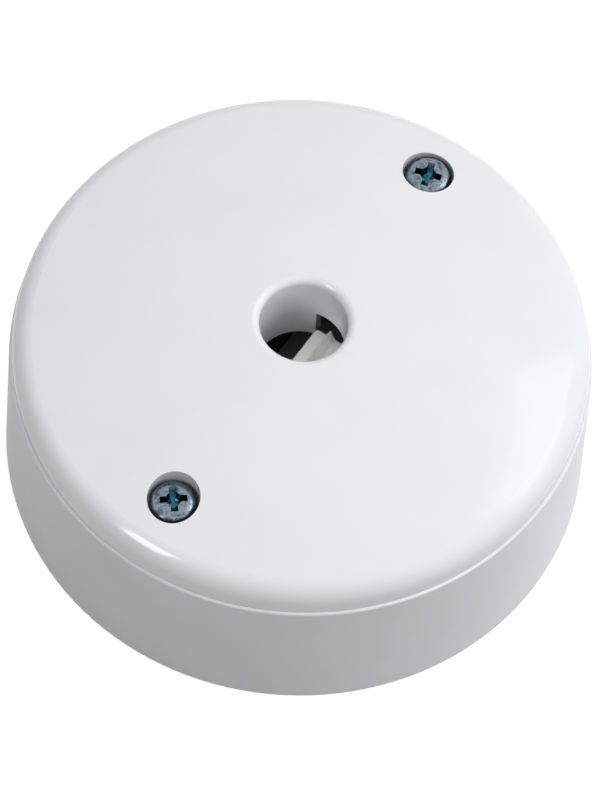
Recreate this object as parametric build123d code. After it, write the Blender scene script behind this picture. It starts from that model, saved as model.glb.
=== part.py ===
from build123d import *
import math
import os

# Round surface-mounting box for a ceiling or wall, with a cord outlet in the middle of its cover.
# Millimetres. The origin is the middle of the back face and +Z points out of the cover.
# +X runs along the line through the two cover screws.

# Outer form
base_height = 23.7
rim_radius = 40.0
foot_radius = 40.4
base_wall = 2.2
base_floor = 2.4
cover_radius = 39.6
cover_land = 1.7
cover_edge_radius = 3.5
crown_radius = 140.0
cover_wall = 2.3

# Rings and small edges
spigot_outer_radius = 37.65
spigot_inner_radius = 36.2
spigot_depth = 2.7
spigot_root = 2.3
foot_edge_radius = 0.6
rim_edge_radius = 0.3
inner_corner_radius = 1.2
base_inner_draft = 0.4

# Cord outlet in the cover
outlet_radius = 6.05
outlet_tube_radius = 7.7
outlet_relief_radius = 6.3
outlet_lead_in = 1.0
outlet_tube_end = 19.5
outlet_window_top = 25.5
outlet_window_edge = 1.6

# Cover screws, M3.5 pan head, in brass inserts
cover_screw_x = 31.15
cover_screw_seat = 27.5
cover_screw_length = 16.0
recess_radius = 3.6
screw_boss_radius = 5.2
screw_boss_floor = 2.2
screw_pillar_radius = 4.0
pillar_end = 21.2
post_radius = 4.2
post_top = 21.0
insert_radius = 2.7
insert_length = 6.0
post_bore_radius = 2.0
post_bore_end = 9.0
post_rib_width = 2.0
post_rib_top = 20.0
screw_clearance = 0.25

# Screw sizes: shank radius, head radius, head height
m35_shank, m35_head, m35_head_height = 1.75, 3.4, 2.3
m3_shank, m3_head, m3_head_height = 1.5, 2.75, 2.0
cross_width = 0.9
cross_depth = 1.3
cross_reach = 0.56
head_rounding = 0.55

# Back face: cable entry and fixing slots
entry_radius = 7.5
entry_collar_radius = 8.8
entry_collar_height = 1.4
fixing_spacing = 50.8
fixing_width = 5.0
fixing_length = 8.0
knockout_width = 16.0
knockout_top = 17.0
knockout_skin = 0.9

# Cord grip: a toothed bar over a toothed saddle, on two pillars of the base
grip_screw_x = 9.6
grip_screw_y = -11.0
grip_half_length = 13.4
grip_width = 8.0
grip_bar_bottom = 18.7
grip_bar_thickness = 4.0
grip_tongue_half_width = 5.3
grip_tongue_tip = 0.9
grip_groove_radius = 7.0
grip_groove_depth = 0.8
grip_tooth_pitch = 2.6
grip_first_tooth = -1.4
grip_tip_radius = 0.5
bar_tooth_count = 5
bar_tooth_height = 1.85
bar_tooth_width = 1.6
tooth_sink = 0.05
saddle_bottom = 8.0
saddle_top = 13.5
saddle_front = -5.0
saddle_back = -17.0
saddle_skin = 1.8
saddle_corner_radius = 2.0
saddle_tooth_count = 4
saddle_tooth_inset = 2.1
saddle_tooth_height = 0.9
saddle_tooth_width = 1.4
grip_pillar_radius = 3.4
grip_screw_length = 20.0

# Terminal block with four tubular terminals
block_y = 15.0
block_width = 12.0
block_pitch = 10.5
terminal_count = 4
block_foot_top = 6.4
block_top = 16.9
tower_length = 8.8
tower_sink = 0.5
tower_edge_radius = 1.2
lug_x = 24.2
lug_radius = 3.4
lug_bottom = 5.4
lug_thickness = 3.0
lug_boss_radius = 3.2
block_screw_length = 7.0
terminal_z = 9.2
terminal_radius = 3.2
terminal_length = 10.0
terminal_bore_radius = 1.9
terminal_pocket_gap = 0.05
terminal_screw_offset = 2.8
terminal_screw_tip = 9.9
terminal_screw_head_radius = 2.2
terminal_screw_head_bottom = 14.6
terminal_screw_head_height = 1.7
well_radius = 2.4
slot_width = 0.7
slot_depth = 0.9

# Worked out from the driving dimensions
edge_centre_r = cover_radius - cover_edge_radius
edge_centre_z = base_height + cover_land
crown_centre_z = edge_centre_z - math.sqrt((crown_radius - cover_edge_radius) ** 2 - edge_centre_r ** 2)
crown_meets_edge = math.atan2(edge_centre_z - crown_centre_z, edge_centre_r)
cover_top = crown_centre_z + crown_radius
rim_inner_radius = rim_radius - base_wall
grip_bar_top = grip_bar_bottom + grip_bar_thickness
lug_top = lug_bottom + lug_thickness
terminal_names = ["live", "loop", "neutral", "earth"]
terminal_xs = [(i - (terminal_count - 1) / 2) * block_pitch for i in range(terminal_count)]
UP = Align.CENTER, Align.CENTER, Align.MIN


def rod(radius, bottom, top, x=0.0, y=0.0):
    """Upright cylinder from one height to another."""
    return Pos(x, y, bottom) * Cylinder(radius, top - bottom, align=UP)


def cross_rod(radius, start, end, x, z):
    """Cylinder along Y between two places."""
    return Pos(x, start, z) * Rot(-90, 0, 0) * Cylinder(radius, end - start, align=UP)


def block(x0, x1, y0, y1, z0, z1):
    """Box given by its two corners."""
    return Pos((x0 + x1) / 2, (y0 + y1) / 2, (z0 + z1) / 2) * Box(x1 - x0, y1 - y0, z1 - z0)


def turned(points):
    """Solid of revolution about Z from a closed outline of radius and height."""
    return revolve(Plane.XZ * make_face(Polyline(*points, close=True)), Axis.Z)


def dome(inset):
    """Filled form of the cover, set in from its outer skin: land, edge arc and shallow crown."""
    edge = cover_edge_radius - inset
    crown = crown_radius - inset
    half = crown_meets_edge / 2
    low = (cover_radius - inset, base_height)
    land_top = (cover_radius - inset, edge_centre_z)
    edge_middle = (edge_centre_r + edge * math.cos(half), edge_centre_z + edge * math.sin(half))
    shoulder = (edge_centre_r + edge * math.cos(crown_meets_edge),
                edge_centre_z + edge * math.sin(crown_meets_edge))
    middle_r = shoulder[0] / 2
    crown_middle = (middle_r, crown_centre_z + math.sqrt(crown ** 2 - middle_r ** 2))
    top = (0, crown_centre_z + crown)
    outline = Curve() + [
        Line((0, base_height), low),
        Line(low, land_top),
        ThreePointArc(land_top, edge_middle, shoulder),
        ThreePointArc(shoulder, crown_middle, top),
        Line(top, (0, base_height)),
    ]
    return revolve(Plane.XZ * make_face(outline), Axis.Z)


def edges_at(shape, kind, height, radius=None):
    """Edges of one kind whose middle lies at a height, and of one radius if it is given."""
    found = shape.edges().filter_by(kind).filter_by(lambda e: abs(e.center().Z - height) < 1e-3)
    if radius is None:
        return found
    return found.filter_by(lambda e: abs(e.radius - radius) < 1e-3)


def base():
    """Cup that is fixed to the wall: drafted wall, posts, pillars, entries and slots."""
    inner_foot = foot_radius - base_wall
    cup = turned([(0, 0), (foot_radius, 0), (rim_radius, base_height), (rim_inner_radius, base_height),
                  (inner_foot - base_inner_draft, base_floor), (0, base_floor)])
    cup = fillet(edges_at(cup, GeomType.CIRCLE, base_floor), inner_corner_radius)
    cup = fillet(edges_at(cup, GeomType.CIRCLE, 0), foot_edge_radius)
    cup = fillet(edges_at(cup, GeomType.CIRCLE, base_height, rim_radius), rim_edge_radius)
    for side in (-1, 1):
        x = side * cover_screw_x
        cup += rod(post_radius, base_floor / 2, post_top, x)
        rib_ends = sorted((x, side * (rim_inner_radius + base_wall / 2)))
        cup += block(*rib_ends, -post_rib_width / 2, post_rib_width / 2, base_floor / 2, post_rib_top)
        cup -= rod(insert_radius, post_top - insert_length, post_top, x)
        cup -= rod(post_bore_radius, post_bore_end, post_top, x)
        cup += rod(grip_pillar_radius, base_floor / 2, saddle_bottom, side * grip_screw_x, grip_screw_y)
        cup -= rod(m35_shank, grip_bar_top - grip_screw_length, saddle_bottom, side * grip_screw_x,
                   grip_screw_y)
        cup += rod(lug_boss_radius, base_floor / 2, lug_bottom, side * lug_x, block_y)
        cup -= rod(m3_shank, lug_top - block_screw_length, lug_bottom, side * lug_x, block_y)
        slot = SlotOverall(fixing_length, fixing_width, rotation=90)
        cup -= Pos(0, side * fixing_spacing / 2, 0) * extrude(slot, base_floor)
    cup += rod(entry_collar_radius, base_floor / 2, base_floor + entry_collar_height)
    cup -= rod(entry_radius, 0, base_floor + entry_collar_height)
    return cup - knockout_pockets()


def knockout_pockets():
    """Hollows in the wall's inner side that leave a thin skin to break out for a surface cable."""
    middle_height = (base_floor + inner_corner_radius + knockout_top) / 2
    draft = (foot_radius - rim_radius) * (1 - middle_height / base_height)
    ring = rod(rim_radius + draft - knockout_skin, base_floor + inner_corner_radius, knockout_top)
    panel = block(-knockout_width / 2, knockout_width / 2, -foot_radius, foot_radius,
                  base_floor + inner_corner_radius, knockout_top)
    middle = block(-foot_radius, foot_radius, -fixing_spacing / 2, fixing_spacing / 2, 0, base_height)
    return ring & panel - middle


def cover():
    """Domed lid with its locating ring, cord tube, screw recesses and pillars."""
    filled = dome(0)
    lid = filled - dome(cover_wall)
    ring = rod(spigot_outer_radius, base_height - spigot_depth, base_height + spigot_root)
    lid += ring - rod(spigot_inner_radius, base_height - spigot_depth, base_height + spigot_root)
    tube = rod(outlet_tube_radius, outlet_tube_end, cover_top)
    inside = filled + rod(cover_radius - cover_wall, 0, base_height)
    lid += tube & inside
    for side in (-1, 1):
        x = side * cover_screw_x
        boss_bottom = cover_screw_seat - screw_boss_floor
        lid += rod(screw_boss_radius, boss_bottom, cover_top, x) & filled
        lid += rod(screw_pillar_radius, pillar_end, boss_bottom, x)
        lid -= rod(recess_radius, cover_screw_seat, cover_top, x)
        lid -= rod(m35_shank + screw_clearance, pillar_end, cover_screw_seat, x)
    lid -= rod(outlet_radius, outlet_tube_end, cover_top)
    lid -= rod(outlet_relief_radius, outlet_tube_end, outlet_window_top)
    mouth = lid.edges().filter_by(lambda e: abs(e.center().Z - crown_height(outlet_radius)) < 0.01)
    lid = fillet(mouth, outlet_lead_in)
    return lid - block(-outlet_tube_radius, outlet_tube_radius, -outlet_tube_radius, outlet_window_edge,
                       outlet_tube_end, outlet_window_top)


def crown_height(radius):
    """Height of the cover's outer face at a distance from the middle."""
    return crown_centre_z + math.sqrt(crown_radius ** 2 - radius ** 2)


def pan_screw(shank, head, head_height, seat, length, x, y):
    """Pan-head screw with a cross recess, its head's underside at the seat."""
    top = seat + head_height
    rounding = head_height * head_rounding
    screw = rod(head, seat, top, x, y)
    screw = fillet(screw.edges().sort_by(Axis.Z)[-1], rounding)
    screw += rod(shank, seat - length, seat, x, y)
    arm = head * cross_reach
    for across in ((arm, cross_width / 2), (cross_width / 2, arm)):
        screw -= block(x - across[0], x + across[0], y - across[1], y + across[1], top - cross_depth, top)
    return screw


def cover_screws():
    return [pan_screw(m35_shank, m35_head, m35_head_height, cover_screw_seat, cover_screw_length,
                      side * cover_screw_x, 0) for side in (-1, 1)]


def cover_insert(side):
    """Brass thread insert in one post of the base."""
    x = side * cover_screw_x
    sleeve = rod(insert_radius, post_top - insert_length, post_top, x)
    return sleeve - rod(m35_shank, post_top - insert_length, post_top, x)


def teeth(count, first, base_z, height, foot_width):
    """Triangular ridges along X, one pitch apart, that stand on or hang from a height."""
    ridges = []
    for i in range(count):
        y = first - i * grip_tooth_pitch
        corners = [(y - foot_width / 2, base_z), (y + foot_width / 2, base_z), (y, base_z + height)]
        outline = Polyline(*corners, close=True)
        ridge = extrude(Plane.YZ * make_face(outline), grip_tongue_half_width, both=True)
        ridges.append(ridge)
    return ridges


def cord_grip_bar():
    """Upper jaw: a bar with a toothed tongue that reaches under the cord outlet."""
    back = grip_screw_y - grip_width / 2
    front = grip_screw_y + grip_width / 2
    plan = Pos(0, grip_screw_y) * SlotOverall(2 * grip_half_length, grip_width)
    tongue_length = grip_tongue_tip - back
    tongue = Pos(0, back + tongue_length / 2) * Rectangle(2 * grip_tongue_half_width, tongue_length)
    bar = Pos(0, 0, grip_bar_bottom) * extrude(plan + tongue, grip_bar_thickness)
    tip_edges = bar.edges().filter_by(Axis.Z).group_by(Axis.Y)[-1]
    bar = fillet(tip_edges, grip_tip_radius)
    groove_z = grip_bar_bottom + grip_groove_depth - grip_groove_radius
    bar -= cross_rod(grip_groove_radius, back, grip_tongue_tip, 0, groove_z)
    for ridge in teeth(bar_tooth_count, grip_first_tooth, grip_bar_top - tooth_sink, bar_tooth_height,
                       bar_tooth_width):
        bar += ridge
    for side in (-1, 1):
        bar -= rod(m35_shank + screw_clearance, grip_bar_bottom, grip_bar_top, side * grip_screw_x,
                   grip_screw_y)
    return bar


def cord_grip_saddle():
    """Lower jaw: a toothed bridge, hollow below, on the base's two pillars."""
    saddle = block(-grip_half_length, grip_half_length, saddle_back, saddle_front, saddle_bottom, saddle_top)
    saddle = fillet(saddle.edges().filter_by(Axis.Z), saddle_corner_radius)
    hollow = block(-grip_half_length + saddle_skin, grip_half_length - saddle_skin, saddle_back + saddle_skin,
                   saddle_front - saddle_skin, saddle_bottom, saddle_top - saddle_skin - grip_groove_depth)
    for side in (-1, 1):
        hollow -= rod(grip_pillar_radius, saddle_bottom, saddle_top, side * grip_screw_x, grip_screw_y)
    saddle -= hollow
    groove_z = saddle_top - grip_groove_depth + grip_groove_radius
    saddle -= cross_rod(grip_groove_radius, saddle_back, saddle_front, 0, groove_z)
    first = saddle_front - saddle_tooth_inset
    for ridge in teeth(saddle_tooth_count, first, saddle_top - saddle_tooth_height, saddle_tooth_height,
                       saddle_tooth_width):
        saddle += ridge
    for side in (-1, 1):
        saddle -= rod(m35_shank + screw_clearance, saddle_bottom, saddle_top, side * grip_screw_x,
                      grip_screw_y)
    return saddle


def cord_grip_screws():
    return [pan_screw(m35_shank, m35_head, m35_head_height, grip_bar_top, grip_screw_length,
                      side * grip_screw_x, grip_screw_y) for side in (-1, 1)]


def terminal_block():
    """Insulating carrier: a foot with two fixing lugs and one tower for each terminal."""
    front = block_y - block_width / 2
    back = block_y + block_width / 2
    half_length = terminal_xs[-1] + tower_length / 2
    carrier = block(-half_length, half_length, front, back, base_floor, block_foot_top)
    for side in (-1, 1):
        lug = rod(lug_radius, lug_bottom, lug_top, side * lug_x, block_y)
        reach = sorted((side * half_length - side, side * lug_x))
        lug += block(*reach, block_y - lug_radius, block_y + lug_radius, lug_bottom, lug_top)
        carrier += lug
        carrier -= rod(m3_shank + screw_clearance, lug_bottom, lug_top, side * lug_x, block_y)
    for x in terminal_xs:
        tower = block(x - tower_length / 2, x + tower_length / 2, front, back,
                      block_foot_top - tower_sink, block_top)
        tower = fillet(tower.edges().filter_by(Axis.Y).group_by(Axis.Z)[-1], tower_edge_radius)
        carrier += tower
    for x in terminal_xs:
        end = block_y + terminal_length / 2
        carrier -= cross_rod(terminal_radius + terminal_pocket_gap, front, end, x, terminal_z)
        carrier -= cross_rod(well_radius, end, back, x, terminal_z)
        for y in (block_y - terminal_screw_offset, block_y + terminal_screw_offset):
            carrier -= rod(well_radius, terminal_z, block_top, x, y)
    return carrier


def terminal(x):
    """Brass tube that takes a conductor from either end under two screws."""
    start = block_y - terminal_length / 2
    end = block_y + terminal_length / 2
    tube = cross_rod(terminal_radius, start, end, x, terminal_z)
    tube -= cross_rod(terminal_bore_radius, start, end, x, terminal_z)
    for y in (block_y - terminal_screw_offset, block_y + terminal_screw_offset):
        tube -= rod(m3_shank, terminal_z, terminal_z + terminal_radius, x, y)
    return tube


def terminal_screws():
    """Two slotted screws for each terminal, turned part of the way in."""
    screws = []
    head_top = terminal_screw_head_bottom + terminal_screw_head_height
    for x in terminal_xs:
        for y in (block_y - terminal_screw_offset, block_y + terminal_screw_offset):
            screw = rod(m3_shank, terminal_screw_tip, terminal_screw_head_bottom, x, y)
            screw += rod(terminal_screw_head_radius, terminal_screw_head_bottom, head_top, x, y)
            reach = terminal_screw_head_radius
            screw -= block(x - reach, x + reach, y - slot_width / 2, y + slot_width / 2,
                           head_top - slot_depth, head_top)
            screws.append(screw)
    return screws


def terminal_block_screws():
    return [pan_screw(m3_shank, m3_head, m3_head_height, lug_top, block_screw_length,
                      side * lug_x, block_y) for side in (-1, 1)]


def all_parts():
    parts = {
        "base": base(),
        "cover": cover(),
        "cover_screws": cover_screws(),
        "cover_insert_left": cover_insert(-1),
        "cover_insert_right": cover_insert(1),
        "cord_grip_saddle": cord_grip_saddle(),
        "cord_grip_bar": cord_grip_bar(),
        "cord_grip_screws": cord_grip_screws(),
        "terminal_block": terminal_block(),
        "terminal_screws": terminal_screws(),
        "terminal_block_screws": terminal_block_screws(),
    }
    for name, x in zip(terminal_names, terminal_xs):
        parts["terminal_" + name] = terminal(x)
    return parts


os.makedirs("parts", exist_ok=True)
for name, shape in all_parts().items():
    solids = shape if isinstance(shape, list) else [shape]
    export_step(Compound(children=[solid.solid() for solid in solids]), f"parts/{name}.step")
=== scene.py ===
"""Looks of a round mounting box: moulded plastic, plated screws, brass terminals, stage and camera."""

import math

import bmesh
import bpy
from bpy.props import FloatProperty, FloatVectorProperty, IntProperty, PointerProperty
from mathutils import Matrix, Quaternion, Vector


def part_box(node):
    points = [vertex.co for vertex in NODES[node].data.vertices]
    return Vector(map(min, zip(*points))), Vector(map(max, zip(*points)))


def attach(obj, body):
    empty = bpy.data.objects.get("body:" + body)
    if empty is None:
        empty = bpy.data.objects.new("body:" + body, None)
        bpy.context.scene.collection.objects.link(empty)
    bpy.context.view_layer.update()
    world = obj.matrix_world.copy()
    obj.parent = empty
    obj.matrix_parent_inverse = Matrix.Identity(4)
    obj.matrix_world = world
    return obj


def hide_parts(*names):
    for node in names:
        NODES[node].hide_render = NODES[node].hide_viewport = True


bl_info = {
    "name": "Round mounting box",
    "version": (1, 0, 0),
    "blender": (4, 5, 0),
    "location": "View3D > Sidebar > Mounting box",
    "description": "Finishes, screws, stage and camera for a round mounting box",
    "category": "Object",
}

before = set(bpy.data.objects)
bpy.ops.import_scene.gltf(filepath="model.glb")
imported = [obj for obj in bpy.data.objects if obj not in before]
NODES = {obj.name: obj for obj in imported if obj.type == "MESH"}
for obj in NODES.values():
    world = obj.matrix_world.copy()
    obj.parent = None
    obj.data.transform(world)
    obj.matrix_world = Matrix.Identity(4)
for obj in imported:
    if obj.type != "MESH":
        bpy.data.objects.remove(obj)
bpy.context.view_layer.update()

MM = 0.001
BODY = "root"
SHARP_ANGLE = math.radians(35)
WELD = 0.001 * MM
WHITE = (1, 1, 1, 1)
TERMINALS = ["terminal_live", "terminal_loop", "terminal_neutral", "terminal_earth"]
INSERTS = ["cover_insert_left", "cover_insert_right"]

# Textures are given in waves a metre. Unless a range is given, only their middle range is used.
TEXTURE_LOW = 0.3
TEXTURE_HIGH = 0.7
BUMP_DEPTH = 0.02 * MM

# Plastic: how far its roughness varies either way.
MOTTLE_WAVES = 90
POLISH_WAVES = 700
POLISH_LEAST = 0.85
POLISH_MOST = 1.2
RIPPLE_WAVES = 420

# Brass: shade of its tarnish and waviness of its tool marks.
TARNISH_WAVES = 600
TARNISH_SHADE = 0.82
TOOL_MARK_WAVES = 3000
TOOL_MARK_WAVINESS = 1.5

# Zinc plate: how far its clouds shift, at random, the value of its blue tint and painted shade, and its
# colour at values of it.
CLOUD_WAVES = 900
CLOUD_ROUGHNESS = 0.6
CLOUD_LOW = -0.42
CLOUD_HIGH = 0.34
PLATE_GRAIN_WAVES = 4000
FILM_AND_SHADE_TINT = 0.1
# Stops of painted shade on the zinc: nearly black at the mouth of a recess, bare zinc, then darker towards
# the rim as a painted dark reflection.
ZINC_PAINTED_SHADES = [(0.32, 0.2), (0.48, 1.0), (0.56, 0.5), (0.75, 0.12)]

# Threads and heads of the screws. The turns are in degrees, one for each screw of a node.
M35_RADIUS = 1.75 * MM
M3_RADIUS = 1.5 * MM
LARGE_PAN_HEIGHT = 2.3 * MM
SMALL_PAN_HEIGHT = 2.0 * MM
CHEESE_HEIGHT = 1.7 * MM
COVER_TURNS = (40, 16)
GRIP_TURNS = (15, 70)
BLOCK_TURNS = (35, 5)
TERMINAL_TURNS = (20, 75, 110, 40, 95, 150, 60, 5)
THREAD_FORM = 0.8

# A pan head: edge and middle as shares of its radius, side as a share of its height, and its curve.
PAN_EDGE = 0.03
PAN_MIDDLE = 0.06
PAN_SIDE = 0.42
CROWN_STEPS = 14
CROWN_WIDTH_CURVE = 0.62
CROWN_HEIGHT_CURVE = 0.85

# A cross recess at its mouth, its bend and its bottom: arm as a share of the recess's reach, then
# half width and corner cut as shares of the head's radius.
RECESS_SECTIONS = [(1.05, 0.15, 0.17), (0.56, 0.12, 0.1), (0.25, 0.06, 0.04)]
RECESS_ABOVE = 0.1
RECESS_BEND = 0.8

# A cheese head: rounded edge as a share of its height, middle of that edge, and middle of the top.
CHEESE_EDGE = 0.16
EDGE_MIDDLE = 0.3
CHEESE_MIDDLE = 0.1

# A value that carries the blue tint and painted shade of a screw's plate. It is FILM_AND_SHADE_CROWN on the
# crown and the shank.
# In the recess it drops by FILM_AND_SHADE_STEP and by the depth, from painted shade at the mouth to a dark
# blue deep down, which is partly the plate's tint and partly painted shade.
# Past RIM_SHADE_START it rises by RIM_SHADE_RISE for each radius, which paints a dark reflection on the
# rim. The recess is what lies within RECESS_LIMIT of the head's radius and RECESS_SUNK of its height below
# the crown.
FILM_AND_SHADE = "film"
FILM_AND_SHADE_CROWN = 0.5
FILM_AND_SHADE_STEP = 0.2
RIM_SHADE_RISE = 2.4
RIM_SHADE_START = 0.78
RECESS_LIMIT = 0.8
RECESS_SUNK = 0.06
SHANK_BELOW = 0.1

# Rings along an insert's outside, from below: share of its height and kind of surface.
INSERT_RINGS = [
    (0.06, "plain"), (0.1, "knurl"), (0.42, "knurl"), (0.45, "groove"), (0.55, "groove"),
    (0.58, "knurl"), (0.9, "knurl"), (0.92, "plain"), (0.98, "plain")]
RIDGE_DIVISIONS = 4

# The stage is described with x to the right of the picture, y away from the camera and z up.
VIEW_AZIMUTH = math.radians(299.9)
WINDOW_CORNERS = [
    (0.508, 0.508, 0.726), (0.41, 0.429, 0.82), (0.418, 0.24, 0.85), (0.37, 0.098, 0.917),
    (0.465, 0.078, 0.844), (0.606, -0.008, 0.748), (0.752, -0.082, 0.644), (0.885, -0.02, 0.525),
    (0.74, 0.179, 0.603), (0.652, 0.413, 0.628)]
STRIP_PLACE = (-0.534, -0.495, 0.61)
STRIP_SIZE = (0.215, 0.385)

# Sides from which the sky is brighter, and how sharply its lobes narrow.
KEY_SIDE = (0.5975, 0.2375, 0.685)
FRONT_SIDE = (-0.19, -0.23, 0.95)
RIGHT_SIDE = (1.0, -0.35, 0.2)
FAR_SIDE = (0, 1, 0)
UNDER_SIDE = (0, 0, -1)
NARROW_LOBE = 50
WIDE_LOBE = 6
BROAD_LOBE = 2

# The floor is clear under the foot, apart from a disc below the cable entry.
FLOOR_RADIUS = 3.0
FLOOR_DIVISIONS = 96
FLOOR_GAP = 0.05 * MM
ENTRY_RADIUS = 9 * MM
FOOT_SHARE = 0.98

# The camera's sensor is in millimetres, its clipping in metres.
SENSOR_WIDTH = 36
CLIP_START = 0.01
CLIP_END = 20


def from_picture(x, y, z=0.0):
    """A direction or place given to the right, away and up, turned into the box's own frame."""
    c, s = math.cos(VIEW_AZIMUTH), math.sin(VIEW_AZIMUTH)
    return Vector((x * c - y * s, x * s + y * c, z))


class BoxFinish(bpy.types.PropertyGroup):
    """Colours and gloss of the box's materials."""

    cover_colour: FloatVectorProperty(
        name="Cover colour", description="Glossy white of the cover and base", subtype="COLOR",
        size=4, min=0, max=1, default=(0.83, 0.83, 0.845, 1.0))
    cover_roughness: FloatProperty(
        name="Cover roughness", description="Polish of the cover's moulding", subtype="FACTOR",
        min=0, max=1, default=0.085)
    base_roughness: FloatProperty(
        name="Base roughness", description="Polish of the base's drafted wall", subtype="FACTOR",
        min=0, max=1, default=0.42)
    grip_colour: FloatVectorProperty(
        name="Grip colour", description="Off-white of the cord grip", subtype="COLOR",
        size=4, min=0, max=1, default=(0.9, 0.9, 0.885, 1.0))
    block_colour: FloatVectorProperty(
        name="Block colour", description="Dark brown of the terminal block", subtype="COLOR",
        size=4, min=0, max=1, default=(0.045, 0.02, 0.017, 1.0))
    brass_colour: FloatVectorProperty(
        name="Brass colour", description="Turned brass of the terminals and inserts", subtype="COLOR",
        size=4, min=0, max=1, default=(0.72, 0.52, 0.24, 1.0))
    zinc_colour: FloatVectorProperty(
        name="Zinc colour", description="Blue-passivated zinc of the screws", subtype="COLOR",
        size=4, min=0, max=1, default=(0.25, 0.32, 0.37, 1.0))
    # Deep blue of a screw's recess, partly the plate's tint and partly painted shade.
    film_and_shade_colour: FloatVectorProperty(
        name="Film colour", description="Thick blue film in the recess of a screw", subtype="COLOR",
        size=4, min=0, max=1, default=(0.03, 0.13, 0.19, 1.0))


class BoxStage(bpy.types.PropertyGroup):
    """Camera, lamps and floor."""

    elevation: FloatProperty(
        name="Elevation", description="Height of the camera above the horizon", subtype="ANGLE",
        default=math.radians(60.8))
    roll: FloatProperty(
        name="Roll", description="Turn of the camera about its own axis", subtype="ANGLE",
        default=math.radians(4.55))
    distance: FloatProperty(
        name="Distance", description="From the camera to the point it looks at", subtype="DISTANCE",
        default=0.9)
    lens: FloatProperty(name="Lens", description="Focal length in millimetres", default=293.5)
    aim_height: FloatProperty(
        name="Aim height", description="Height of the point looked at", subtype="DISTANCE", default=0.017)
    aim_right: FloatProperty(
        name="Aim right", description="Camera offset to the right", subtype="DISTANCE", default=0.00012)
    aim_down: FloatProperty(
        name="Aim down", description="Camera offset downwards", subtype="DISTANCE", default=0.00279)
    sky_level: FloatProperty(
        name="Sky level", description="Light from every side", default=0.08)
    key_level: FloatProperty(
        name="Key level", description="More light from round the wide soft box", default=3.12)
    front_level: FloatProperty(
        name="Front level", description="More light from high at the front left", default=5.4)
    right_level: FloatProperty(
        name="Right level", description="More light from low on the right", default=1.42)
    far_level: FloatProperty(
        name="Far level", description="More light from behind the box", default=0.15)
    under_level: FloatProperty(
        name="Under level", description="Light on the back when the box is seen from below", default=0.9)
    window_level: FloatProperty(
        name="Window level", description="Radiance of the wide soft box on the right", default=2.9)
    strip_level: FloatProperty(
        name="Strip level", description="Radiance of the soft box at the front left", default=7.2)
    floor_grey: FloatProperty(
        name="Floor grey", description="Reflectance of the pale floor", subtype="FACTOR", default=0.3)
    floor_glow: FloatProperty(
        name="Floor glow", description="White that the floor shows to the camera", default=0.85)


class BoxScrews(bpy.types.PropertyGroup):
    """Sizes of the screws' threads and recesses and of the inserts' knurls."""

    segments: IntProperty(name="Segments", description="Divisions round a screw", default=64)
    thread_rings: IntProperty(name="Thread rings", description="Rings along one turn of thread", default=8)
    thread_depth: FloatProperty(
        name="Thread depth", description="Depth of a thread for each unit of its pitch", default=0.6)
    cover_pitch: FloatProperty(
        name="M3.5 pitch", description="Pitch of the cover and grip screws", subtype="DISTANCE",
        default=0.0006)
    small_pitch: FloatProperty(
        name="M3 pitch", description="Pitch of the terminal and block screws", subtype="DISTANCE",
        default=0.0005)
    recess_reach: FloatProperty(
        name="Recess reach", description="Reach of the cross recess as a share of the head's radius",
        subtype="FACTOR", default=0.6)
    recess_depth: FloatProperty(
        name="Recess depth", description="Depth of the cross recess as a share of the head's radius",
        subtype="FACTOR", default=0.52)
    slot_width: FloatProperty(
        name="Slot width", description="Width of a terminal screw's slot", subtype="DISTANCE",
        default=0.0007)
    slot_depth: FloatProperty(
        name="Slot depth", description="Depth of a terminal screw's slot", subtype="DISTANCE",
        default=0.0009)
    knurl_ridges: IntProperty(name="Knurl ridges", description="Ridges round a brass insert", default=26)
    knurl_depth: FloatProperty(
        name="Knurl depth", description="Depth of the grooves of a brass insert", subtype="DISTANCE",
        default=0.00018)


class Graph:
    """The emptied node tree of a material or world, with short ways to add and join nodes."""

    def __init__(self, owner):
        owner.use_nodes = True
        self.nodes = owner.node_tree.nodes
        self.links = owner.node_tree.links
        self.nodes.clear()

    def add(self, kind, **settings):
        node = self.nodes.new(kind)
        for key, value in settings.items():
            setattr(node, key, value)
        return node

    def link(self, source, out, target, into):
        """Joins an output to an input, each given by its name or number."""
        self.links.new(source.outputs[out], target.inputs[into])

    def calculate(self, operation, *values):
        """Output of a sum whose inputs are outputs of other nodes or plain numbers."""
        node = self.add("ShaderNodeMath", operation=operation)
        for value, socket in zip(values, node.inputs):
            if isinstance(value, bpy.types.NodeSocket):
                self.links.new(value, socket)
            else:
                socket.default_value = value
        return node.outputs["Value"]

    def mix(self, factor, first, second):
        """Mixes two shader nodes, so that a factor of one shows the second."""
        node = self.add("ShaderNodeMixShader")
        self.links.new(factor, node.inputs["Fac"])
        self.link(first, 0, node, 1)
        self.link(second, 0, node, 2)
        return node

    def shows_background(self):
        """One for rays that show the background: from the camera, by reflection or through glass."""
        path = self.add("ShaderNodeLightPath")
        direct = self.calculate("MAXIMUM", path.outputs["Is Camera Ray"], path.outputs["Is Glossy Ray"])
        return self.calculate("MAXIMUM", direct, path.outputs["Is Transmission Ray"])


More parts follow.
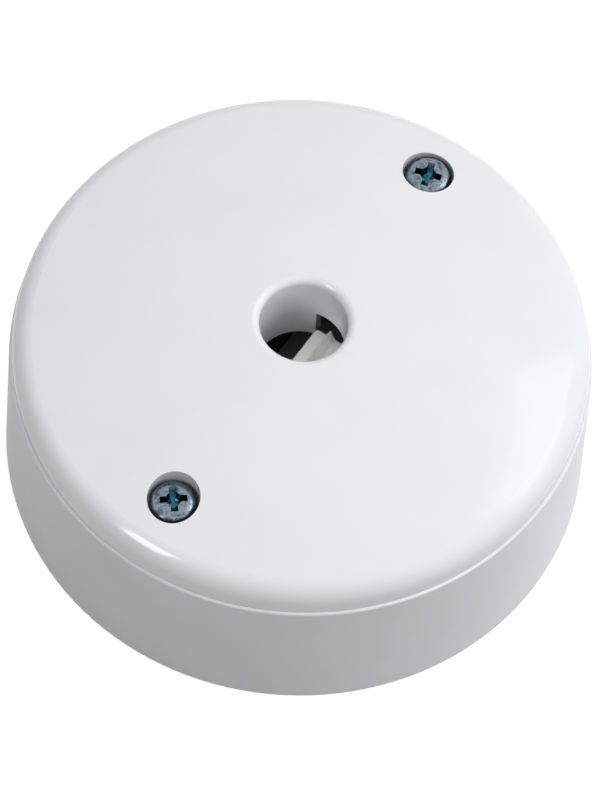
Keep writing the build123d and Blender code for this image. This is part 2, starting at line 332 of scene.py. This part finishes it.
class Shader(Graph):
    """A new surface material with its textures, placed by the object's own coordinates."""

    def __init__(self, name):
        self.material = bpy.data.materials.new(name)
        super().__init__(self.material)
        self.surface = self.add("ShaderNodeBsdfPrincipled")
        self.place = self.add("ShaderNodeTexCoord")
        self.link(self.surface, "BSDF", self.add("ShaderNodeOutputMaterial"), "Surface")

    def set(self, **values):
        for key, value in values.items():
            self.surface.inputs[key.replace("_", " ")].default_value = value

    def noise(self, scale, detail=2.0, roughness=0.5):
        node = self.add("ShaderNodeTexNoise")
        node.inputs["Scale"].default_value = scale
        node.inputs["Detail"].default_value = detail
        node.inputs["Roughness"].default_value = roughness
        self.link(self.place, "Object", node, "Vector")
        return node

    def ramp(self, source, low, high, start=TEXTURE_LOW, end=TEXTURE_HIGH):
        """Turns a texture's range from start to end into values from low to high."""
        node = self.add("ShaderNodeMapRange")
        node.inputs["From Min"].default_value = start
        node.inputs["From Max"].default_value = end
        node.inputs["To Min"].default_value = low
        node.inputs["To Max"].default_value = high
        self.link(source, "Fac", node, "Value")
        return node

    def colours(self, driver, stops):
        """Drives the base colour by a node's output, through colours at given values."""
        node = self.add("ShaderNodeValToRGB")
        elements = node.color_ramp.elements
        for i, (value, colour) in enumerate(stops):
            stop = elements[i] if i < len(elements) else elements.new(value)
            stop.position = value
            stop.color = colour
        self.links.new(driver, node.inputs["Fac"])
        self.link(node, "Color", self.surface, "Base Color")

    def mottle(self, source, first, second):
        """Blends two colours by a texture."""
        self.colours(source.outputs["Fac"], [(TEXTURE_LOW, first), (TEXTURE_HIGH, second)])

    def polish(self, source, low, high):
        """Drives the roughness by a texture."""
        self.link(self.ramp(source, low, high), "Result", self.surface, "Roughness")

    def bump(self, source, strength):
        node = self.add("ShaderNodeBump")
        node.inputs["Strength"].default_value = strength
        node.inputs["Distance"].default_value = BUMP_DEPTH
        self.link(source, "Fac", node, "Height")
        self.link(node, "Normal", self.surface, "Normal")


def shade(colour, factor):
    """The same colour, lighter or darker."""
    return (colour[0] * factor, colour[1] * factor, colour[2] * factor, 1.0)


def moulded_plastic(name, colour, roughness, ripple, spread=0.02):
    """Thermoset plastic with a faint flow mottle and the slight ripple of a polished mould."""
    s = Shader(name)
    s.mottle(s.noise(MOTTLE_WAVES, detail=4), shade(colour, 1 - spread), shade(colour, 1 + spread / 2))
    s.polish(s.noise(POLISH_WAVES, detail=3), roughness * POLISH_LEAST, roughness * POLISH_MOST)
    s.bump(s.noise(RIPPLE_WAVES), ripple)
    s.set(IOR=1.5)
    return s


def gloss_plastic(finish):
    s = moulded_plastic("glossy_white_plastic", finish.cover_colour, finish.cover_roughness, ripple=0.15)
    s.set(Specular_IOR_Level=0.5)
    return s.material


def wall_plastic(finish):
    s = moulded_plastic("satin_white_plastic", finish.cover_colour, finish.base_roughness, ripple=0.25)
    s.set(Specular_IOR_Level=0.12)
    return s.material


def grip_plastic(finish):
    """Off-white plastic through which some light passes."""
    s = moulded_plastic("cord_grip_plastic", finish.grip_colour, roughness=0.38, ripple=0.35, spread=0.04)
    s.set(Subsurface_Weight=0.5, Subsurface_Radius=(1, 1, 1), Subsurface_Scale=2 * MM)
    return s.material


def block_plastic(finish):
    s = moulded_plastic("dark_brown_plastic", finish.block_colour, roughness=0.32, ripple=0.3, spread=0.25)
    s.set(Specular_IOR_Level=0.2)
    return s.material


def turned_brass(finish):
    """Lightly tarnished brass with the fine marks of a lathe."""
    s = Shader("turned_brass")
    s.set(Metallic=1.0)
    tarnish = s.noise(TARNISH_WAVES, detail=5)
    s.mottle(tarnish, shade(finish.brass_colour, TARNISH_SHADE), finish.brass_colour)
    s.polish(tarnish, low=0.34, high=0.22)
    marks = s.add("ShaderNodeTexWave", wave_type="BANDS", bands_direction="Y")
    marks.inputs["Scale"].default_value = TOOL_MARK_WAVES
    marks.inputs["Distortion"].default_value = TOOL_MARK_WAVINESS
    s.link(s.place, "Object", marks, "Vector")
    s.bump(marks, strength=0.2)
    return s.material


def plated_zinc(finish):
    """Zinc plate with a dark blue deep in a recess that is partly its tint and partly painted shade,
    painted shade at the recess's mouth, bare zinc on the crown and a painted dark reflection at the rim.
    """
    s = Shader("blue_zinc_plate")
    s.set(Metallic=1.0)
    film = s.add("ShaderNodeAttribute", attribute_name=FILM_AND_SHADE)
    cloud = s.noise(CLOUD_WAVES, detail=4, roughness=CLOUD_ROUGHNESS)
    shift = s.ramp(cloud, CLOUD_LOW, CLOUD_HIGH, start=0, end=1)
    value = s.calculate("ADD", film.outputs["Fac"], shift.outputs["Result"])
    # Colour stops: the blue tint and painted shade of the recess, bare zinc, and a painted dark reflection
    # at the rim.
    shades = [(place, shade(finish.zinc_colour, factor)) for place, factor in ZINC_PAINTED_SHADES]
    s.colours(value, [(FILM_AND_SHADE_TINT, finish.film_and_shade_colour)] + shades)
    s.polish(cloud, low=0.26, high=0.16)
    s.bump(s.noise(PLATE_GRAIN_WAVES, detail=3), strength=0.15)
    return s.material


def dress(names, material):
    """Gives one material to CAD nodes whose shape stays as it is."""
    for name in names:
        NODES[name].data.materials.clear()
        NODES[name].data.materials.append(material)


def new_object(name, bm, material):
    """An object made of a bmesh, which is used up."""
    mesh = bpy.data.meshes.new(name)
    bm.to_mesh(mesh)
    bm.free()
    thing = bpy.data.objects.new(name, mesh)
    bpy.context.scene.collection.objects.link(thing)
    mesh.materials.append(material)
    return thing


def stand_for(name, bm, material):
    """Puts a detailed piece in the place of a CAD node of like name and shades it smooth by angle."""
    piece = new_object(name + "_detail", bm, material)
    for face in piece.data.polygons:
        face.use_smooth = True
    piece.data.set_sharp_from_angle(angle=SHARP_ANGLE)
    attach(piece, BODY)
    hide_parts(name)


def rings_to_bmesh(rings, closed=False):
    """Joins rings of points, all of one length, into a tube, closed on itself or capped at both ends."""
    bm = bmesh.new()
    rows = [[bm.verts.new(point) for point in ring] for ring in rings]
    following = rows[1:] + rows[:1] if closed else rows[1:]
    for low, high in zip(rows, following):
        for i in range(len(low)):
            j = (i + 1) % len(low)
            bm.faces.new((low[i], low[j], high[j], high[i]))
    if not closed:
        bm.faces.new(list(reversed(rows[0])))
        bm.faces.new(rows[-1])
    bmesh.ops.recalc_face_normals(bm, faces=bm.faces)
    return bm


def cut(solid, cutter):
    """Takes one closed bmesh from another and gives back the rest."""
    objects = []
    for name, bm in (("solid", solid), ("cutter", cutter)):
        mesh = bpy.data.meshes.new(name)
        bm.to_mesh(mesh)
        bm.free()
        objects.append(bpy.data.objects.new(name, mesh))
        bpy.context.scene.collection.objects.link(objects[-1])
    boolean = objects[0].modifiers.new("cut", "BOOLEAN")
    boolean.operation = "DIFFERENCE"
    boolean.solver = "EXACT"
    boolean.object = objects[1]
    shaped = objects[0].evaluated_get(bpy.context.evaluated_depsgraph_get())
    rest = bmesh.new()
    rest.from_mesh(shaped.to_mesh())
    shaped.to_mesh_clear()
    for thing in objects:
        mesh = thing.data
        bpy.data.objects.remove(thing)
        bpy.data.meshes.remove(mesh)
    return rest


def circle(radius, z, segments, wave=None):
    """Ring of points at a height, whose radius may vary with the angle."""
    points = []
    for i in range(segments):
        angle = 2 * math.pi * i / segments
        r = radius + (wave(angle) if wave else 0.0)
        points.append(Vector((r * math.cos(angle), r * math.sin(angle), z)))
    return points


def threaded_shank(radius, pitch, start, end, screws):
    """Rings of a right-hand thread from its tip to its neck, which starts narrow and runs out plain."""
    depth = pitch * screws.thread_depth
    step = pitch / screws.thread_rings
    count = int((end - start) / step)
    rings = [circle(radius - depth - pitch / 2, start, screws.segments)]
    for k in range(1, count):
        z = start + k * (end - start) / count
        run_in = min(1.0, (z - start) / pitch)
        run_out = min(1.0, (end - z) / (2 * pitch))
        crest = depth * run_in * run_out
        root = radius - depth - (1 - run_in) * pitch / 2 + (1 - run_out) * depth / 2

        def wave(angle, z=z, crest=crest):
            phase = 2 * math.pi * z / pitch - angle
            return crest * (0.5 + 0.5 * math.cos(phase)) ** THREAD_FORM

        rings.append(circle(root, z, screws.segments, wave))
    rings.append(circle(radius - depth / 2, end, screws.segments))
    return rings


def crown_profile(head, height):
    """Radius and height pairs of a pan head's crown, from above its side to its middle."""
    side = height * PAN_SIDE
    points = []
    for i in range(1, CROWN_STEPS):
        turn = math.pi / 2 * i / CROWN_STEPS
        r = head * math.cos(turn) ** CROWN_WIDTH_CURVE
        z = side + (height - side) * math.sin(turn) ** CROWN_HEIGHT_CURVE
        points.append((r, z))
    return points + [(head * PAN_MIDDLE, height)]


def pan_profile(head, height):
    """Radius and height pairs of a pan head from its underside to the middle of its crown."""
    edge = head * PAN_EDGE
    return [(head - edge, 0.0), (head, edge), (head, height * PAN_SIDE)] + crown_profile(head, height)


def cross_outline(reach, half_width, corner):
    """Cross with its inner corners cut off, as points in a plane."""
    quarter = [(reach, -half_width), (reach, half_width),
               (half_width + corner, half_width), (half_width, half_width + corner)]
    points = []
    for turn in range(4):
        c, s = round(math.cos(turn * math.pi / 2)), round(math.sin(turn * math.pi / 2))
        points += [(x * c - y * s, x * s + y * c) for x, y in quarter]
    return points


def cross_cutter(head, top, screws):
    """Tapered cross that a screwdriver's tip leaves in a head."""
    depth = head * screws.recess_depth
    reach = head * screws.recess_reach
    heights = (top + head * RECESS_ABOVE, top - depth * RECESS_BEND, top - depth)
    rings = []
    for z, (arm, half_width, corner) in zip(heights, RECESS_SECTIONS):
        outline = cross_outline(reach * arm, head * half_width, head * corner)
        rings.append([Vector((x, y, z)) for x, y in outline])
    return rings_to_bmesh(rings)


def mark_film_and_shade(bm, head, seat, height):
    """Notes at each point of a screw a value for its blue tint and painted shade, whose recess is what lies
    below a pan's crown.
    """
    layer = bm.verts.layers.float.new(FILM_AND_SHADE)
    profile = crown_profile(head, height)
    for vert in bm.verts:
        r = math.hypot(vert.co.x, vert.co.y)
        z = vert.co.z - seat
        if z < -SHANK_BELOW * height:
            vert[layer] = FILM_AND_SHADE_CROWN
            continue
        crown = next((crown_z for crown_r, crown_z in profile if crown_r <= r), 0.0)
        sunk = crown - z
        # Painted shade at the mouth of the recess, turning to the dark blue deep down.
        if r < head * RECESS_LIMIT and sunk > height * RECESS_SUNK:
            vert[layer] = max(0.0, FILM_AND_SHADE_CROWN - FILM_AND_SHADE_STEP - sunk / head)
        else:
            # Bare zinc on the crown, and towards the rim a painted dark reflection.
            vert[layer] = FILM_AND_SHADE_CROWN + max(0.0, r / head - RIM_SHADE_START) * RIM_SHADE_RISE


def pan_screw(head, height, shank, pitch, seat, tip, screws):
    """Pan-head screw with a cross recess, on the Z axis."""
    rings = threaded_shank(shank, pitch, tip, seat, screws)
    for r, z in pan_profile(head, height):
        rings.append(circle(r, seat + z, screws.segments))
    screw = cut(rings_to_bmesh(rings), cross_cutter(head, seat + height, screws))
    mark_film_and_shade(screw, head, seat, height)
    return screw


def slot_screw(head, height, shank, pitch, seat, tip, screws):
    """Cheese-head screw with a slot along X, on the Z axis."""
    top = seat + height
    edge = height * CHEESE_EDGE
    bend = edge * EDGE_MIDDLE
    rings = threaded_shank(shank, pitch, tip, seat, screws)
    for r, z in ((head - edge / 2, seat), (head, seat + edge / 2), (head, top - edge),
                 (head - bend, top - bend), (head - edge, top), (head * CHEESE_MIDDLE, top)):
        rings.append(circle(r, z, screws.segments))
    past_head = 3 * head
    cutter = bmesh.new()
    bmesh.ops.create_cube(cutter, size=1.0)
    bmesh.ops.scale(cutter, vec=(past_head, screws.slot_width, 2 * screws.slot_depth), verts=cutter.verts)
    bmesh.ops.translate(cutter, vec=(0, 0, top), verts=cutter.verts)
    screw = cut(rings_to_bmesh(rings), cutter)
    mark_film_and_shade(screw, head, seat, height)
    return screw


def copies(single, places, turns):
    """One bmesh with a copy of a screw at each place, turned by an angle."""
    mesh = bpy.data.meshes.new("single")
    single.to_mesh(mesh)
    single.free()
    group = bmesh.new()
    for (x, y), turn in zip(places, turns):
        before = len(group.verts)
        group.from_mesh(mesh)
        group.verts.ensure_lookup_table()
        matrix = Matrix.Translation((x, y, 0)) @ Matrix.Rotation(turn, 4, "Z")
        bmesh.ops.transform(group, matrix=matrix, verts=group.verts[before:])
    bpy.data.meshes.remove(mesh)
    return group


def islands(name):
    """Box corners of each separate solid of a CAD node, from left to right and near to far."""
    bm = bmesh.new()
    bm.from_mesh(NODES[name].data)
    bmesh.ops.remove_doubles(bm, verts=bm.verts, dist=WELD)
    left = set(bm.verts)
    found = []
    while left:
        stack = [left.pop()]
        group = []
        while stack:
            vert = stack.pop()
            group.append(vert.co.copy())
            for edge in vert.link_edges:
                other = edge.other_vert(vert)
                if other in left:
                    left.discard(other)
                    stack.append(other)
        low = Vector(min(p[i] for p in group) for i in range(3))
        high = Vector(max(p[i] for p in group) for i in range(3))
        found.append((low, high))
    bm.free()
    return sorted(found, key=lambda box: (round(box[0].x, 5), round(box[0].y, 5)))


def centre_of(box):
    """Middle of a box, seen from above."""
    return ((box[0].x + box[1].x) / 2, (box[0].y + box[1].y) / 2)


class MOUNTINGBOX_OT_mouldings(bpy.types.Operator):
    """Gives the cover and the base their white plastic"""

    bl_idname = "mountingbox.mouldings"
    bl_label = "Cover and base"

    def execute(self, context):
        finish = context.scene.box_finish
        dress(["cover"], gloss_plastic(finish))
        dress(["base"], wall_plastic(finish))
        return {"FINISHED"}


class MOUNTINGBOX_OT_inner_parts(bpy.types.Operator):
    """Finishes the cord grip, the terminal block and the brass terminals"""

    bl_idname = "mountingbox.inner_parts"
    bl_label = "Cord grip and terminals"

    def execute(self, context):
        finish = context.scene.box_finish
        dress(["cord_grip_bar", "cord_grip_saddle"], grip_plastic(finish))
        dress(["terminal_block"], block_plastic(finish))
        dress(TERMINALS, turned_brass(finish))
        return {"FINISHED"}


class MOUNTINGBOX_OT_screws(bpy.types.Operator):
    """Makes the screws with their threads and recesses"""

    bl_idname = "mountingbox.screws"
    bl_label = "Screws"

    def execute(self, context):
        screws = context.scene.box_screws
        zinc = plated_zinc(context.scene.box_finish)
        for name, (make, shank, height, pitch, turns) in self.kinds(screws).items():
            boxes = islands(name)
            low, high = boxes[0]
            head = (high.x - low.x) / 2
            single = make(head, height, shank, pitch, high.z - height, low.z, screws)
            angles = [math.radians(turn) for turn in turns]
            group = copies(single, [centre_of(box) for box in boxes], angles)
            stand_for(name, group, zinc)
        return {"FINISHED"}

    def kinds(self, screws):
        """Maker, shank radius, head height, pitch and turns of each node's screws."""
        large, small = screws.cover_pitch, screws.small_pitch
        return {
            "cover_screws": (pan_screw, M35_RADIUS, LARGE_PAN_HEIGHT, large, COVER_TURNS),
            "cord_grip_screws": (pan_screw, M35_RADIUS, LARGE_PAN_HEIGHT, large, GRIP_TURNS),
            "terminal_block_screws": (pan_screw, M3_RADIUS, SMALL_PAN_HEIGHT, small, BLOCK_TURNS),
            "terminal_screws": (slot_screw, M3_RADIUS, CHEESE_HEIGHT, small, TERMINAL_TURNS),
        }


class MOUNTINGBOX_OT_inserts(bpy.types.Operator):
    """Makes the knurled brass inserts of the base"""

    bl_idname = "mountingbox.inserts"
    bl_label = "Brass inserts"

    def execute(self, context):
        screws = context.scene.box_screws
        brass = turned_brass(context.scene.box_finish)
        for name in INSERTS:
            low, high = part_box(name)
            outer = (high.x - low.x) / 2
            insert = self.insert(outer, M35_RADIUS, low.z, high.z, screws)
            x, y = centre_of((low, high))
            bmesh.ops.translate(insert, vec=(x, y, 0), verts=insert.verts)
            stand_for(name, insert, brass)
        return {"FINISHED"}

    def insert(self, outer, bore, bottom, top, screws):
        """Sleeve with two knurled bands and a plain groove between them."""
        segments = screws.knurl_ridges * RIDGE_DIVISIONS
        height = top - bottom
        lip = screws.knurl_depth

        def ridges(angle):
            return -screws.knurl_depth * (0.5 - 0.5 * math.cos(angle * screws.knurl_ridges))

        rings = [circle(bore + lip, bottom, segments), circle(outer - 2 * lip, bottom, segments)]
        for share, kind in INSERT_RINGS:
            radius = outer - 2 * lip if kind == "groove" else outer
            wave = ridges if kind == "knurl" else None
            rings.append(circle(radius, bottom + height * share, segments, wave))
        rings += [circle(outer - lip, top, segments), circle(bore + lip, top, segments),
                  circle(bore, top - lip, segments), circle(bore, bottom + lip, segments)]
        return rings_to_bmesh(rings, closed=True)


def area_lamp(name, place, size, level):
    """Rectangular soft box at a place to the right, away and up, which faces the box."""
    width, height = size
    lamp = bpy.data.lights.new(name, "AREA")
    lamp.shape = "RECTANGLE"
    lamp.size = width
    lamp.size_y = height
    lamp.energy = level * math.pi * width * height
    holder = bpy.data.objects.new(name, lamp)
    bpy.context.scene.collection.objects.link(holder)
    holder.location = from_picture(*place)
    holder.rotation_mode = "QUATERNION"
    holder.rotation_quaternion = holder.location.to_track_quat("Z", "Y")


def glowing_panel(name, corners, level):
    """Flat soft box with its corners to the right, away and up, which neither shows nor throws a shadow."""
    bm = bmesh.new()
    bm.faces.new([bm.verts.new(from_picture(*corner)) for corner in corners])
    material = bpy.data.materials.new(name)
    graph = Graph(material)
    glow = graph.add("ShaderNodeEmission")
    glow.inputs["Strength"].default_value = level
    graph.link(glow, "Emission", graph.add("ShaderNodeOutputMaterial"), "Surface")
    panel = new_object(name, bm, material)
    panel.visible_camera = False
    panel.visible_shadow = False


def set_sky(stage):
    """Soft light from all round that is brighter on some sides, behind a white background."""
    world = bpy.data.worlds.new("studio")
    bpy.context.scene.world = world
    graph = Graph(world)
    direction = graph.add("ShaderNodeTexCoord")
    lobes = [(KEY_SIDE, WIDE_LOBE, stage.key_level), (FRONT_SIDE, NARROW_LOBE, stage.front_level),
             (RIGHT_SIDE, WIDE_LOBE, stage.right_level), (FAR_SIDE, BROAD_LOBE, stage.far_level),
             (UNDER_SIDE, BROAD_LOBE, stage.under_level)]
    total = stage.sky_level
    for side, sharpness, level in lobes:
        toward = graph.add("ShaderNodeVectorMath", operation="DOT_PRODUCT")
        toward.inputs[1].default_value = from_picture(*side).normalized()
        graph.link(direction, "Generated", toward, 0)
        facing = graph.calculate("MAXIMUM", toward.outputs["Value"], 0.0)
        lobe = graph.calculate("POWER", facing, sharpness)
        total = graph.calculate("MULTIPLY_ADD", lobe, level, total)
    sky = graph.add("ShaderNodeBackground")
    graph.links.new(total, sky.inputs["Strength"])
    white = graph.add("ShaderNodeBackground")
    white.inputs["Color"].default_value = WHITE
    mix = graph.mix(graph.shows_background(), sky, white)
    graph.link(mix, 0, graph.add("ShaderNodeOutputWorld"), "Surface")


def floor_material(stage, foot_radius):
    """Pale floor that shows white outside the box's foot, keeps the shadow and is clear from below.

    Under the foot it is clear too, except below the cable entry, so that the back gets light."""
    material = bpy.data.materials.new("pale_floor")
    graph = Graph(material)
    place = graph.add("ShaderNodeTexCoord")
    distance = graph.add("ShaderNodeVectorMath", operation="LENGTH")
    graph.link(place, "Object", distance, 0)
    outside = graph.calculate("GREATER_THAN", distance.outputs["Value"], foot_radius)
    past_entry = graph.calculate("GREATER_THAN", distance.outputs["Value"], ENTRY_RADIUS)
    under_foot = graph.calculate("SUBTRACT", past_entry, outside)
    side = graph.add("ShaderNodeNewGeometry")
    see_through = graph.calculate("MAXIMUM", under_foot, side.outputs["Backfacing"])
    shown = graph.calculate("MULTIPLY", outside, graph.shows_background())
    matt = graph.add("ShaderNodeBsdfDiffuse")
    matt.inputs["Color"].default_value = (stage.floor_grey, stage.floor_grey, stage.floor_grey, 1)
    glow = graph.add("ShaderNodeEmission")
    graph.links.new(graph.calculate("MULTIPLY", shown, stage.floor_glow), glow.inputs["Strength"])
    both = graph.add("ShaderNodeAddShader")
    graph.link(matt, "BSDF", both, 0)
    graph.link(glow, "Emission", both, 1)
    one_sided = graph.mix(see_through, both, graph.add("ShaderNodeBsdfTransparent"))
    graph.link(one_sided, 0, graph.add("ShaderNodeOutputMaterial"), "Surface")
    return material


def add_floor(stage):
    """Wide round floor that faces up, just below the box's foot."""
    bm = bmesh.new()
    bmesh.ops.create_circle(bm, cap_ends=True, segments=FLOOR_DIVISIONS, radius=FLOOR_RADIUS)
    for face in bm.faces:
        face.normal_update()
        if face.normal.z < 0:
            face.normal_flip()
    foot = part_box("base")[1].x
    floor = new_object("floor", bm, floor_material(stage, foot * FOOT_SHARE))
    floor.location.z = -FLOOR_GAP


def set_camera(stage):
    """Camera at the photograph's viewing angle."""
    data = bpy.data.cameras.new("camera")
    data.sensor_width = SENSOR_WIDTH
    data.lens = stage.lens
    data.clip_start = CLIP_START
    data.clip_end = CLIP_END
    camera = bpy.data.objects.new("camera", data)
    bpy.context.scene.collection.objects.link(camera)
    bpy.context.scene.camera = camera
    back = from_picture(0, -math.cos(stage.elevation), math.sin(stage.elevation))
    turn = (-back).to_track_quat("-Z", "Y") @ Quaternion((0, 0, 1), stage.roll)
    aim = Vector((0, 0, stage.aim_height)) + turn @ Vector((stage.aim_right, -stage.aim_down, 0))
    camera.rotation_mode = "QUATERNION"
    camera.rotation_quaternion = turn
    camera.location = aim + back * stage.distance


class MOUNTINGBOX_OT_stage(bpy.types.Operator):
    """Sets the floor, the sky, the soft boxes and the camera"""

    bl_idname = "mountingbox.stage"
    bl_label = "Stage and camera"

    def execute(self, context):
        stage = context.scene.box_stage
        add_floor(stage)
        set_sky(stage)
        glowing_panel("window", WINDOW_CORNERS, stage.window_level)
        area_lamp("strip", STRIP_PLACE, STRIP_SIZE, stage.strip_level)
        set_camera(stage)
        context.scene.view_settings.view_transform = "Standard"
        return {"FINISHED"}


class MOUNTINGBOX_PT_panel(bpy.types.Panel):
    """Lists the steps that dress the box"""

    bl_idname = "MOUNTINGBOX_PT_panel"
    bl_label = "Mounting box"
    bl_space_type = "VIEW_3D"
    bl_region_type = "UI"
    bl_category = "Mounting box"

    def draw(self, context):
        for operator in OPERATORS:
            self.layout.operator(operator.bl_idname)
        for group in (context.scene.box_finish, context.scene.box_screws, context.scene.box_stage):
            box = self.layout.box()
            for name in group.bl_rna.properties.keys():
                if name not in ("rna_type", "name"):
                    box.prop(group, name)


GROUPS = {"box_finish": BoxFinish, "box_screws": BoxScrews, "box_stage": BoxStage}
OPERATORS = [MOUNTINGBOX_OT_mouldings, MOUNTINGBOX_OT_inner_parts, MOUNTINGBOX_OT_inserts,
             MOUNTINGBOX_OT_screws, MOUNTINGBOX_OT_stage]


def register():
    for group in GROUPS.values():
        bpy.utils.register_class(group)
    for name, group in GROUPS.items():
        setattr(bpy.types.Scene, name, PointerProperty(type=group))
    for operator in OPERATORS:
        bpy.utils.register_class(operator)
    bpy.utils.register_class(MOUNTINGBOX_PT_panel)


def unregister():
    bpy.utils.unregister_class(MOUNTINGBOX_PT_panel)
    for operator in reversed(OPERATORS):
        bpy.utils.unregister_class(operator)
    for name, group in GROUPS.items():
        delattr(bpy.types.Scene, name)
        bpy.utils.unregister_class(group)


def main():
    register()
    bpy.ops.mountingbox.mouldings()
    bpy.ops.mountingbox.inner_parts()
    bpy.ops.mountingbox.inserts()
    bpy.ops.mountingbox.screws()
    bpy.ops.mountingbox.stage()


if __name__ == "__main__":
    main()
